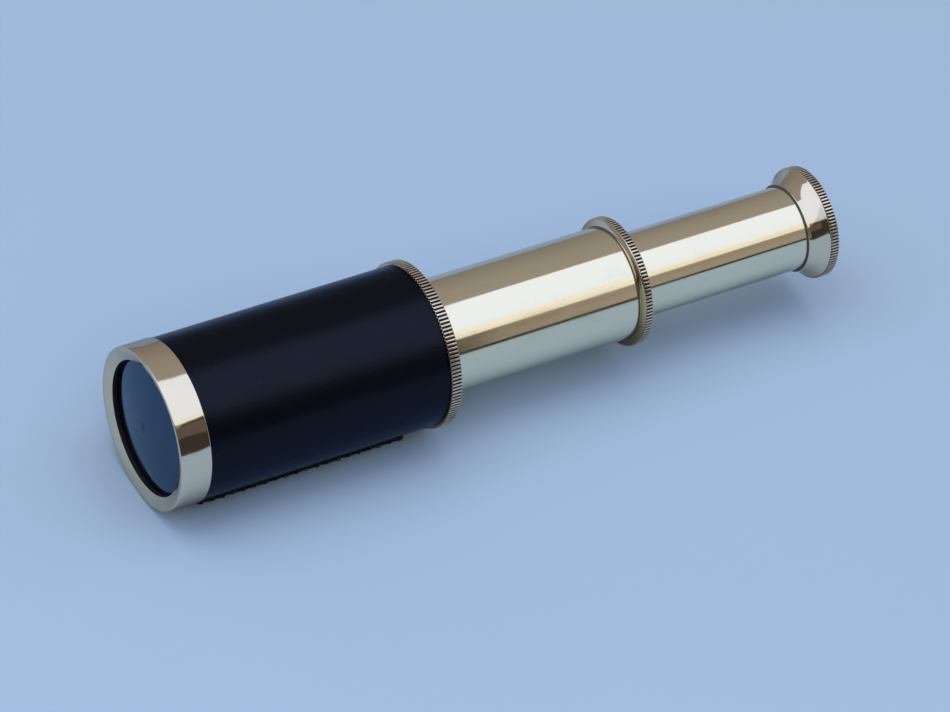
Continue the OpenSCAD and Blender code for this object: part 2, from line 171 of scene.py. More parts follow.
class SpyglassGlass(PropertyGroup):
    """Colours of the glass"""
    coating_colour: FloatVectorProperty(
        name="Coating", description="Tint of the object glass",
        subtype="COLOR", size=3, min=0, max=1, default=(0.065, 0.13, 0.235))
    clear_colour: FloatVectorProperty(
        name="Clear glass", description="Tint of the small lenses",
        subtype="COLOR", size=3, min=0, max=1, default=(0.86, 0.93, 0.95))


class SpyglassStage(PropertyGroup):
    """Floor, room and lamps"""
    floor_colour: FloatVectorProperty(
        name="Floor", description="Colour of the floor",
        subtype="COLOR", size=3, min=0, max=1, default=(0.350, 0.465, 0.590))
    room_colour: FloatVectorProperty(
        name="Room", description="Colour of the room above the floor",
        subtype="COLOR", size=3, min=0, max=2, default=(0.28, 0.262, 0.262))
    corner_colour: FloatVectorProperty(
        name="Dark side", description="Colour of the room low down behind the camera",
        subtype="COLOR", size=3, min=0, max=2, default=(0.048, 0.040, 0.038))
    window_strength: FloatProperty(
        name="Window", description="Brightness of the large soft lamp", min=0, max=10, default=1.16)
    glow_strength: FloatProperty(
        name="Glow", description="Brightness of the low lamp under the window", min=0, max=10, default=0.26)
    fill_strength: FloatProperty(
        name="Fill", description="Brightness of the lamps that light only matte surfaces",
        min=0, max=10, default=1.75)


SETTINGS = {
    "spyglass_brass": SpyglassBrass, "spyglass_knurl": SpyglassKnurl, "spyglass_leather": SpyglassLeather,
    "spyglass_glass": SpyglassGlass, "spyglass_stage": SpyglassStage}


class Value:
    """A node's output that takes part in arithmetic; every operation adds one Math node."""

    def __init__(self, finish, socket):
        self.finish = finish
        self.socket = socket

    def __add__(self, other):
        return self.finish.math_node("ADD", self, other)

    def __sub__(self, other):
        return self.finish.math_node("SUBTRACT", self, other)

    def __rsub__(self, other):
        return self.finish.math_node("SUBTRACT", other, self)

    def __mul__(self, other):
        return self.finish.math_node("MULTIPLY", self, other)

    def __pow__(self, other):
        return self.finish.math_node("POWER", self, other)

    __radd__ = __add__
    __rmul__ = __mul__


class Finish:
    """A procedural material on a piece's own Object coordinates."""

    def __init__(self, name):
        self.material = bpy.data.materials.new(name)
        self.material.use_nodes = True
        self.tree = self.material.node_tree
        self.shader = self.tree.nodes["Principled BSDF"]
        place = self.node("ShaderNodeTexCoord", output="Object")
        self.mm = self.node("ShaderNodeVectorMath", {"operation": "SCALE"}, {0: place, 3: 1 / MM})
        self.x, self.y, self.z = (
            self.node("ShaderNodeSeparateXYZ", inputs={0: self.mm}, output=axis) for axis in "XYZ")
        self.radius = (self.y * self.y + self.z * self.z) ** 0.5

    def node(self, kind, settings=None, inputs=None, output=0):
        """Adds a node, makes its settings, feeds its inputs and returns one of its outputs."""
        node = self.tree.nodes.new(kind)
        for key, value in (settings or {}).items():
            setattr(node, key, value)
        for key, value in (inputs or {}).items():
            self.feed(node.inputs[key], value)
        return Value(self, node.outputs[output])

    def feed(self, socket, value):
        """Links a Value to a socket, or sets a number or colour on it."""
        if isinstance(value, Value):
            self.tree.links.new(value.socket, socket)
        elif hasattr(value, "__len__") and len(value) == 3 and len(socket.default_value) == 4:
            socket.default_value = (*value, 1)
        else:
            socket.default_value = value

    def math_node(self, operation, *values):
        """One Math node on Values or numbers."""
        return self.node("ShaderNodeMath", {"operation": operation}, dict(enumerate(values)))

    def step(self, value, low, high):
        """0 below low and 1 above high, or the other way round, with a smooth change between."""
        return self.node(
            "ShaderNodeMapRange", {"interpolation_type": "SMOOTHSTEP"},
            {"Value": value, "From Min": low, "From Max": high})

    def band(self, start, end, outside, inside):
        """1 between two places on the axis and 0 beyond them, fading from inside to outside of each."""
        return self.step(self.x, start - outside, start + inside) * (
            self.step(self.x, end + outside, end - inside))

    def mix(self, share, first, second):
        """From the first colour to the second."""
        return self.node("ShaderNodeMix", {"data_type": "RGBA"}, {0: share, 6: first, 7: second}, 2)

    def stretched(self, x, y, z):
        """The place in millimetres, times a scale for each axis."""
        return self.node("ShaderNodeVectorMath", {"operation": "MULTIPLY"}, {0: self.mm, 1: (x, y, z)})

    def clouds(self, place, scale=1.0, detail=2.0, roughness=0.5):
        """Soft noise of 0 to 1."""
        return self.node(
            "ShaderNodeTexNoise", {"noise_dimensions": "3D"},
            {"Vector": place, "Scale": scale, "Detail": detail, "Roughness": roughness})

    def bump(self, height, depth, strength=1.0, below=None):
        """A bump whose height of 0 to 1 stands for depth, in metres."""
        inputs = {"Height": height, "Distance": depth, "Strength": strength}
        if below:
            inputs["Normal"] = below
        return self.node("ShaderNodeBump", inputs=inputs)

    def shade(self, **inputs):
        """Sets the shader's sockets, with _ for each space in a name."""
        for name, value in inputs.items():
            self.feed(self.shader.inputs[name.replace("_", " ")], value)
        return self.material


def polished_brass(name, colour, edge, lining_below=0.0, teeth=(), joints=(), browned_and_shaded=(), waves=0.0):
    """Polished brass with hairlines, stains, grime and painted shade in the milled grooves, grime in the
    joints, and a blackened inside.

    edge is its tint at a glancing view. teeth holds (start, end, root radius) of each milled band, joints
    the (start, end, radius) of dirty corners, which reach out to that radius, and browned the (start, end)
    of bands that are tarnished lightly all round and given painted shade: browner below the top and darkest
    underneath. waves is the height of slight hollows left by the polisher. All are in mm.
    """
    brass = bpy.context.scene.spyglass_brass
    finish = Finish(name)
    stains = finish.clouds(finish.stretched(0.06, 0.11, 0.11), detail=4, roughness=0.6)
    spots = finish.clouds(finish.stretched(0.5, 0.7, 0.7), detail=3, roughness=0.55)
    hairs = finish.clouds(finish.stretched(0.05, 5.0, 5.0), detail=3, roughness=0.65)
    rings = finish.clouds(finish.stretched(9.0, 0.12, 0.12), detail=3, roughness=0.6)
    specks = finish.step(finish.clouds(finish.mm, scale=1.7, detail=2), 0.66, 0.73) * (
        finish.step(stains, 0.46, 0.58))
    tarnish = finish.step(stains, 0.50, 0.78) * 0.20 + finish.step(spots, 0.62, 0.80) * 0.16 + specks * 0.40
    base = finish.mix(tarnish, colour, brass.tarnish_colour)
    rough = brass.polish + finish.step(stains, 0.35, 0.75) * 0.05 + finish.step(spots, 0.5, 0.8) * 0.05
    # Painted shade: each band browns more below the top and is darkest underneath; only a light tarnish goes
    # all round
    for start, end in browned_and_shaded:
        skin = finish.band(start, end, 0.03, 0.03)
        tone = finish.mix(finish.step(finish.z, 4.0, -4.0), brass.tarnish_colour, brass.patina_colour)
        base = finish.mix(skin * (0.10 + finish.step(finish.z, 13.0, 8.0) * 0.85), base, tone)
    metal = 1.0
    dirt_and_shade = None
    # Grime and painted shade between the teeth: the grooves go dark up most of the flanks, nearly to the
    # crests
    for start, end, root in teeth:
        inside = finish.band(start, end, 0.02, 0.02)
        mask = inside * finish.step(finish.x, start + 0.05, start + 0.14) * (
            finish.step(finish.radius, root + 0.34, root + 0.26))
        base = finish.mix(inside * finish.step(spots, 0.35, 0.65) * 0.30, base, brass.patina_colour)
        dirt_and_shade = mask if dirt_and_shade is None else finish.math_node("MAXIMUM", dirt_and_shade, mask)
    for start, end, radius in joints:
        ragged = finish.radius + spots * 0.10
        mask = finish.band(start, end, 0.04, 0.02) * finish.step(ragged, radius + 0.10, radius + 0.02)
        mask = mask * 0.85
        dirt_and_shade = mask if dirt_and_shade is None else finish.math_node("MAXIMUM", dirt_and_shade, mask)
    if dirt_and_shade is not None:
        base = finish.mix(dirt_and_shade, base, brass.groove_colour)
        rough = rough + dirt_and_shade * 0.45
        metal = 1.0 - dirt_and_shade * 0.85
    if lining_below:
        lining = finish.step(finish.radius, lining_below + 0.06, lining_below + 0.02)
        base = finish.mix(lining, base, brass.lining_colour)
        rough = rough + lining * 0.5
        metal = (1.0 - lining) * metal
    relief = finish.bump(hairs * 0.6 + rings * 0.4, 0.0012 * MM, 0.35)
    if waves:
        hollows = finish.clouds(finish.stretched(0.13, 0.20, 0.20), detail=1, roughness=0.4)
        relief = finish.bump(hollows, waves * MM, 1.0, below=relief)
    return finish.shade(
        Base_Color=base, Metallic=metal, Roughness=rough, Normal=relief, Specular_Tint=(*edge, 1))


def turned_brass(name):
    """Plain turned brass of the hidden fittings, with tool rings and a dull skin."""
    brass = bpy.context.scene.spyglass_brass
    finish = Finish(name)
    skin = finish.clouds(finish.stretched(0.3, 0.3, 0.3), detail=4)
    rings = finish.clouds(finish.stretched(14.0, 0.2, 0.2), detail=2)
    base = finish.mix(finish.step(skin, 0.35, 0.7) * 0.6, brass.inner_colour, brass.tarnish_colour)
    return finish.shade(
        Base_Color=base, Metallic=1.0, Roughness=0.28 + skin * 0.2,
        Normal=finish.bump(rings, 0.004 * MM, 0.6))


def blackened_metal(name):
    """Matte black paint over turned metal, thin on the edges."""
    brass = bpy.context.scene.spyglass_brass
    finish = Finish(name)
    worn = finish.step(finish.clouds(finish.stretched(1.5, 1.5, 1.5), detail=4, roughness=0.7), 0.66, 0.74)
    base = finish.mix(worn * 0.5, brass.lining_colour, (0.05, 0.042, 0.03))
    grain = finish.clouds(finish.mm, scale=6.0, detail=3)
    return finish.shade(
        Base_Color=base, Metallic=worn * 0.6, Roughness=0.62 + grain * 0.15,
        Normal=finish.bump(grain, 0.01 * MM, 0.5))


def lens_glass(name, tint, index, mirror, edge):
    """Glass of a refractive index, with a faint film and a few specks of dust.

    mirror is the share of the light that its coating reflects in the tint, and edge the tint at a
    glancing view.
    """
    finish = Finish(name)
    film = finish.clouds(finish.stretched(0.12, 0.2, 0.2), detail=3)
    dust = finish.step(finish.clouds(finish.mm, scale=2.4, detail=1), 0.74, 0.79)
    base = finish.mix(dust * 0.08, tint, (0.75, 0.76, 0.78))
    return finish.shade(
        Base_Color=base, Roughness=0.015 + film * 0.02 + dust * 0.2,
        Metallic=mirror, Specular_Tint=(*edge, 1), Transmission_Weight=1.0, IOR=index)


def dyed_leather(name):
    """Black leather with a fine grain, creases, soft rubbing and a darker cut edge on the seam.

    Its polished dye reflects as a thin dark metal skin would, which keeps it near black at a glancing view.
    """
    leather = bpy.context.scene.spyglass_leather
    finish = Finish(name)
    pebbles = finish.node(
        "ShaderNodeTexVoronoi", {"feature": "SMOOTH_F1"},
        {"Vector": finish.mm, "Scale": 2.3, "Smoothness": 0.8}, "Distance")
    fine = finish.clouds(finish.mm, scale=5.5, detail=3, roughness=0.6)
    broad = finish.clouds(finish.stretched(0.10, 0.16, 0.16), detail=3)
    wear = finish.clouds(finish.stretched(0.35, 0.5, 0.5), detail=4, roughness=0.7)
    rubbed = finish.step(wear, 0.60, 0.78)
    on_seam = finish.step(finish.radius, LEATHER_R / MM + 0.45, LEATHER_R / MM + 0.9)
    tone = finish.mix(broad * 0.6, leather.colour, [0.80 * part for part in leather.colour])
    tone = finish.mix(rubbed * 0.35, tone, [1.5 * part for part in leather.colour])
    base = finish.mix(on_seam * 0.7, tone, leather.edge_colour)
    rough = 0.20 + broad * 0.08 + fine * 0.08 - rubbed * 0.05 + on_seam * 0.30
    grain = finish.bump(pebbles * 0.7 + fine * 0.5, 0.035 * MM, 0.55)
    creases = finish.bump(broad, 0.5 * MM, 0.25, below=grain)
    return finish.shade(
        Base_Color=base, Roughness=rough, Metallic=0.9, Specular_IOR_Level=0.15,
        Specular_Tint=(0.59, 0.65, 0.76, 1), Normal=creases)


def waxed_thread(name):
    """Twisted black thread."""
    leather = bpy.context.scene.spyglass_leather
    finish = Finish(name)
    twist = finish.clouds(finish.stretched(7.0, 3.0, 3.0), detail=2)
    base = finish.mix(twist, leather.thread_colour, [2.2 * part for part in leather.thread_colour])
    return finish.shade(
        Base_Color=base, Roughness=0.45 + twist * 0.2, Normal=finish.bump(twist, 0.03 * MM, 0.8))


def floor_paint(name):
    """Plain matte floor with hardly visible mottling."""
    stage = bpy.context.scene.spyglass_stage
    finish = Finish(name)
    mottle = finish.clouds(finish.stretched(0.02, 0.02, 0.02), detail=3)
    base = finish.mix(mottle * 0.3, stage.floor_colour, [0.97 * part for part in stage.floor_colour])
    return finish.shade(Base_Color=base, Roughness=0.85, Specular_IOR_Level=0.2)


def start_clean():
    """Leaves edit mode and drops the selection, so that operators act on new geometry alone."""
    if bpy.context.object and bpy.context.object.mode != "OBJECT":
        bpy.ops.object.mode_set(mode="OBJECT")
    bpy.ops.object.select_all(action="DESELECT")


def edit_points():
    """Enters edit mode with all points selected."""
    bpy.ops.object.mode_set(mode="EDIT")
    bpy.ops.mesh.select_mode(type="VERT")
    bpy.ops.mesh.select_all(action="SELECT")


def named(name):
    """The object just added, with its name."""
    piece = bpy.context.object
    piece.name = piece.data.name = name
    return piece


def merged(piece):
    """Merges doubled points and turns all faces outwards."""
    edit_points()
    bpy.ops.mesh.remove_doubles(threshold=MERGE)
    bpy.ops.mesh.normals_make_consistent(inside=False)
    bpy.ops.object.mode_set(mode="OBJECT")
    return piece


def pick_faces(piece, wanted):
    """Selects, in edit mode, the faces that meet a test."""
    bpy.ops.mesh.select_mode(type="FACE")
    bpy.ops.mesh.select_all(action="DESELECT")
    bpy.ops.object.mode_set(mode="OBJECT")
    for face in piece.data.polygons:
        face.select = wanted(face)
    bpy.ops.object.mode_set(mode="EDIT")


def turn(name, outline, steps=TURN_STEPS):
    """Turns a closed outline of (x, radius) corners in metres round the optical axis."""
    start_clean()
    bpy.ops.mesh.primitive_plane_add(size=MM)
    piece = named(name)
    edit_points()
    bpy.ops.mesh.merge(type="CENTER")
    bpy.ops.transform.translate(value=(outline[0][0], 0, outline[0][1]))
    for (x, r), (next_x, next_r) in zip(outline, outline[1:] + outline[:1]):
        bpy.ops.mesh.extrude_region_move(TRANSFORM_OT_translate={"value": (next_x - x, 0, next_r - r)})
    bpy.ops.mesh.select_all(action="SELECT")
    bpy.ops.mesh.remove_doubles(threshold=MERGE)
    bpy.ops.mesh.spin(steps=steps, angle=2 * math.pi, center=(0, 0, 0), axis=(1, 0, 0))
    bpy.ops.object.mode_set(mode="OBJECT")
    return merged(piece)


def apply_modifier(piece, kind, **settings):
    """Adds a modifier with its settings and applies it."""
    modifier = piece.modifiers.new(kind.title(), kind)
    for key, value in settings.items():
        setattr(modifier, key, value)
    bpy.ops.object.modifier_apply(modifier=modifier.name)


def break_edges(piece, width):
    """Rounds every corner of a turned outline, as a fine file and polishing do."""
    apply_modifier(
        piece, "BEVEL", width=width, segments=3, limit_method="ANGLE", angle_limit=math.radians(24))


def smooth(piece, degrees=24):
    """Smooth shading that keeps corners, with flat parts kept truly flat."""
    bpy.ops.object.shade_smooth_by_angle(angle=math.radians(degrees))
    apply_modifier(piece, "WEIGHTED_NORMAL", keep_sharp=True, weight=50)


def mill_teeth(name, start, end, crest, teeth):
    """One rounded tooth, copied round the axis into a milled band from start to end."""
    knurl = bpy.context.scene.spyglass_knurl
    pitch = 2 * math.pi * crest / teeth
    sunk, run_out = 0.08 * MM, 0.08 * MM
    crest_share = 0.84
    height = knurl.depth + sunk
    middle = Vector(((start + end) / 2, 0, crest - height / 2))
    start_clean()
    bpy.ops.mesh.primitive_cube_add(
        size=1, location=middle, scale=(end - start, pitch * knurl.share, height))
    piece = named(name)
    bpy.ops.object.transform_apply(location=True, rotation=True, scale=True)
    bpy.ops.object.mode_set(mode="EDIT")
    pick_faces(piece, lambda face: face.normal.z > 0.9)
    bpy.ops.transform.resize(
        value=(1 - run_out / (end - start), crest_share, 1), center_override=(middle.x, 0, crest))
    bpy.ops.mesh.bevel(offset=0.08 * pitch, segments=2)
    bpy.ops.mesh.select_all(action="SELECT")
    bpy.ops.mesh.spin(
        steps=teeth - 1, dupli=True, angle=2 * math.pi * (teeth - 1) / teeth, use_auto_merge=False,
        center=(0, 0, 0), axis=(1, 0, 0))
    bpy.ops.object.mode_set(mode="OBJECT")
    return piece


def join(*parts):
    """Joins pieces into the first."""
    start_clean()
    for part in parts:
        part.select_set(True)
    bpy.context.view_layer.objects.active = parts[0]
    bpy.ops.object.join()
    return parts[0]


def dress(piece, material, body, slot, *nodes):
    """Gives a piece its material and body, and hides the solids that it stands for; slot is not used."""
    piece.data.materials.clear()
    piece.data.materials.append(material)
    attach(piece, body)
    if nodes:
        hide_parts(*nodes)


def from_front(place):
    """Row x of a place in metres behind the front plane of the bezel."""
    return FRONT + place


class SPYGLASS_OT_bezel(Operator):
    """Turn the polished bezel with its dished face"""
    bl_idname = "spyglass.bezel"
    bl_label = "Bezel"

    def execute(self, context):
        mouth = 16.0 * MM
        roll_l, roll_h = 1.9 * MM, 0.14 * MM
        round_r = 0.24 * MM
        side = [(place, BEZEL_R - roll_h * (1 - place / roll_l) ** 2)
                for place in (round_r + (roll_l - round_r) * share for share in (0, 0.2, 0.4, 0.6, 0.8, 1))]
        land_in, land_out = BEZEL_R - 0.80 * MM, side[0][1] - round_r
        quarter = [math.radians(degrees) for degrees in (0, 18, 36, 54, 72, 90)]
        dish_depth = 0.85 * MM
        dish = [
            (from_front(dish_depth * (1 - t) ** 1.25), mouth + (land_in - mouth) * t)
            for t in (0, 0.2, 0.4, 0.6, 0.8, 1)]
        back = LEATHER[0]
        spigot = BARREL_BORE - SPIGOT_PLAY
        spigot_end = from_front(10.148 * MM)
        seat, lip_back = spigot - 0.55 * MM, from_front(2.0 * MM)
        piece = turn("bezel_turned", dish + [
            *((from_front(round_r * (1 - math.cos(t))), land_out + round_r * math.sin(t)) for t in quarter),
            *((from_front(place), radius) for place, radius in side[1:]),
            *((back - round_r * (1 - math.sin(t)), BEZEL_R - round_r * (1 - math.cos(t))) for t in quarter),
            (back, spigot), (spigot_end, spigot), (spigot_end, seat),
            (lip_back, seat), (lip_back, mouth)], steps=FINE_TURN_STEPS)
        break_edges(piece, 0.10 * MM)
        smooth(piece)
        brass = context.scene.spyglass_brass
        material = polished_brass(
            "ring_brass_bezel", brass.ring_colour, RING_EDGE, lining_below=mouth / MM + 0.02,
            joints=[((back - 0.06 * MM) / MM, (back + 0.2 * MM) / MM, BEZEL_R / MM + 0.2)], waves=0.22)
        dress(piece, material, "barrel", "ring_brass", "objective_bezel")
        return {"FINISHED"}


class SPYGLASS_OT_glass(Operator):
    """Give the lenses their glass"""
    bl_idname = "spyglass.glass"
    bl_label = "Lenses"

    def execute(self, context):
        glass = context.scene.spyglass_glass
        coated = lens_glass(
            "objective_glass", glass.coating_colour, index=1.25, mirror=0.5, edge=(0.74, 0.87, 0.96))
        clear = lens_glass("lens_glass", glass.clear_colour, index=1.52, mirror=0.0, edge=(1.0, 1.0, 1.0))
        for node in ("objective_crown", "objective_flint"):
            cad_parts[node].material_slots[0].material = coated
        for node in ("erector_front_lens", "erector_rear_lens", "field_lens", "eye_lens"):
            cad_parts[node].material_slots[0].material = clear
        return {"FINISHED"}


class SPYGLASS_OT_collars(Operator):
    """Turn the two milled collars"""
    bl_idname = "spyglass.collars"
    bl_label = "Milled collars"

    def execute(self, context):
        self.barrel_collar(context)
        self.draw_collar(context)
        return {"FINISHED"}

    def barrel_collar(self, context):
        knurl = context.scene.spyglass_knurl
        front, rear = COLLAR
        root = COLLAR_R - knurl.depth
        spigot = BARREL_BORE - SPIGOT_PLAY
        hole = DRAW_1_R + SLEEVE_ROOM
        ring = self.ring("barrel_collar_turned", COLLAR, [(front, root)], root, spigot, hole)
        teeth_end = rear - TEETH_END
        teeth = mill_teeth("barrel_teeth", front, teeth_end, COLLAR_R, knurl.barrel_teeth)
        piece = join(ring, teeth)
        smooth(piece, TOOTH_CORNER)
        material = polished_brass(
            "ring_brass_barrel_collar", context.scene.spyglass_brass.ring_colour, RING_EDGE,
            lining_below=(spigot - SPIGOT_WALL) / MM,
            teeth=[(front / MM, teeth_end / MM, root / MM)])
        dress(piece, material, "barrel", "ring_brass", "barrel_collar")

    def draw_collar(self, context):
        knurl = context.scene.spyglass_knurl
        front, rear = DRAW_1_COLLAR
        root = DRAW_1_COLLAR_R - knurl.depth
        spigot = DRAW_1_R - DRAW_WALL - SPIGOT_PLAY
        hole = DRAW_2_R + SLEEVE_ROOM
        groove, groove_r = 0.14 * MM, DRAW_1_R - 0.1 * MM
        shoulder, edge = 0.86 * MM, DRAW_1_R + 0.25 * MM
        neck = [(front, groove_r), (front + groove, groove_r)] + [
            (front + groove + (shoulder - groove) * share, edge + (root - edge) * share ** 0.75)
            for share in (0, 0.2, 0.4, 0.6, 0.8, 1)]
        ring = self.ring("draw1_collar_turned", DRAW_1_COLLAR, neck, root, spigot, hole)
        teeth_start, teeth_end = front + shoulder, rear - TEETH_END
        teeth = mill_teeth("draw_teeth", teeth_start, teeth_end, DRAW_1_COLLAR_R, knurl.draw_teeth)
        piece = join(ring, teeth)
        smooth(piece, TOOTH_CORNER)
        material = polished_brass(
            "ring_brass_draw_collar", context.scene.spyglass_brass.ring_colour, RING_EDGE,
            lining_below=(spigot - SPIGOT_WALL) / MM,
            teeth=[(teeth_start / MM, teeth_end / MM, root / MM)],
            joints=[(front / MM - 0.1, (front + groove) / MM + 0.02, edge / MM - 0.05)],
            # Painted shade on the shoulder, browner below the top and darkest underneath
            browned_and_shaded=[((front + groove) / MM, teeth_start / MM)])
        dress(piece, material, "draw1", "ring_brass", "draw1_collar")

    def ring(self, name, span, neck, root, spigot, hole):
        """A collar without its teeth, from its spigot to a rear face that is sunk a little round the hole.

        span is its (front, rear), and neck the corners from the front up to the root of the teeth.
        """
        front, rear = span
        spigot_front = front - 3.6 * MM
        sunk = rear - 0.12 * MM
        piece = turn(name, [
            (spigot_front, spigot - SPIGOT_WALL), (spigot_front, spigot), (front, spigot),
            *neck, (rear - REAR_CHAMFER, root), (rear, root - REAR_CHAMFER),
            (rear, hole + 1.3 * MM), (sunk, hole + 1.2 * MM), (sunk, hole),
            (front, hole), (front, spigot - SPIGOT_WALL)])
        break_edges(piece, 0.05 * MM)
        return piece


class SPYGLASS_OT_draws(Operator):
    """Turn the two polished draw tubes"""
    bl_idname = "spyglass.draws"
    bl_label = "Draw tubes"

    def execute(self, context):
        brass = context.scene.spyglass_brass
        for name, (front, rear), radius, body, node in (
                ("draw1_polished", DRAW_1, DRAW_1_R, "draw1", "draw1_tube"),
                ("draw2_polished", DRAW_2, DRAW_2_R, "draw2", "draw2_tube")):
            bore = radius - DRAW_WALL
            # The rear end is drawn in a little where it is burnished against the next ring
            piece = turn(name, [
                (front, bore), (front, radius), (rear - 0.35 * MM, radius),
                (rear - 0.12 * MM, radius - 0.03 * MM), (rear, radius - 0.10 * MM), (rear, bore)],
                steps=FINE_TURN_STEPS)
            break_edges(piece, 0.04 * MM)
            smooth(piece)
            material = polished_brass(
                f"polished_brass_{body}", brass.tube_colour, TUBE_EDGE, lining_below=bore / MM,
                joints=[(rear / MM - 0.05, rear / MM + 0.3, radius / MM + 0.2)])
            dress(piece, material, body, "polished_brass", node)
        return {"FINISHED"}


class SPYGLASS_OT_eyepiece(Operator):
    """Turn the flared and milled eyepiece"""
    bl_idname = "spyglass.eyepiece"
    bl_label = "Eyepiece"

    def execute(self, context):
        knurl = context.scene.spyglass_knurl
        front, rear = CUP
        root = CUP_R - knurl.depth
        groove, groove_r = 0.08 * MM, DRAW_2_R - 0.1 * MM
        neck_r, neck_end, neck_corner = DRAW_2_R + 0.62 * MM, front + 0.8 * MM, 0.10 * MM
        band = (rear - 2.4 * MM, rear - TEETH_END)
        neck = [(front, groove_r), (front + groove, groove_r), (front + groove, neck_r - neck_corner),
                (front + groove + neck_corner, neck_r)]
        flare_steps = 16
        flare = [
            (neck_end + (band[0] - neck_end) * share, neck_r + (root - neck_r) * share ** 1.5)
            for share in (i / flare_steps for i in range(flare_steps + 1))]
        spigot, spigot_front = DRAW_2_R - DRAW_WALL - SPIGOT_PLAY, front - 6 * MM
        bore = spigot - 0.64 * MM
        dish, eye_hole = CUP_R - 1.0 * MM, 4.5 * MM
        eye_hole_front = rear - 6.1 * MM
        piece = turn("eyepiece_turned", [
            (spigot_front, bore), (spigot_front, spigot), (front, spigot), *neck, *flare,
            (rear - REAR_CHAMFER, root), (rear, root - REAR_CHAMFER), (rear, dish),
            (rear - 4.2 * MM, dish - 2.1 * MM), (rear - 5.0 * MM, eye_hole),
            (eye_hole_front, eye_hole), (eye_hole_front, bore)])
        break_edges(piece, 0.06 * MM)
        teeth = mill_teeth("eyepiece_teeth", *band, CUP_R, knurl.eye_teeth)
        piece = join(piece, teeth)
        smooth(piece, TOOTH_CORNER)
        brass = context.scene.spyglass_brass
        material = polished_brass(
            "ring_brass_eyepiece", brass.ring_colour, RING_EDGE,
            teeth=[(band[0] / MM, band[1] / MM, root / MM)],
            joints=[(front / MM - 0.1, (front + groove) / MM + 0.02, neck_r / MM - 0.12)])
        dress(piece, material, "draw2", "ring_brass", "eyepiece_cell")
        return {"FINISHED"}


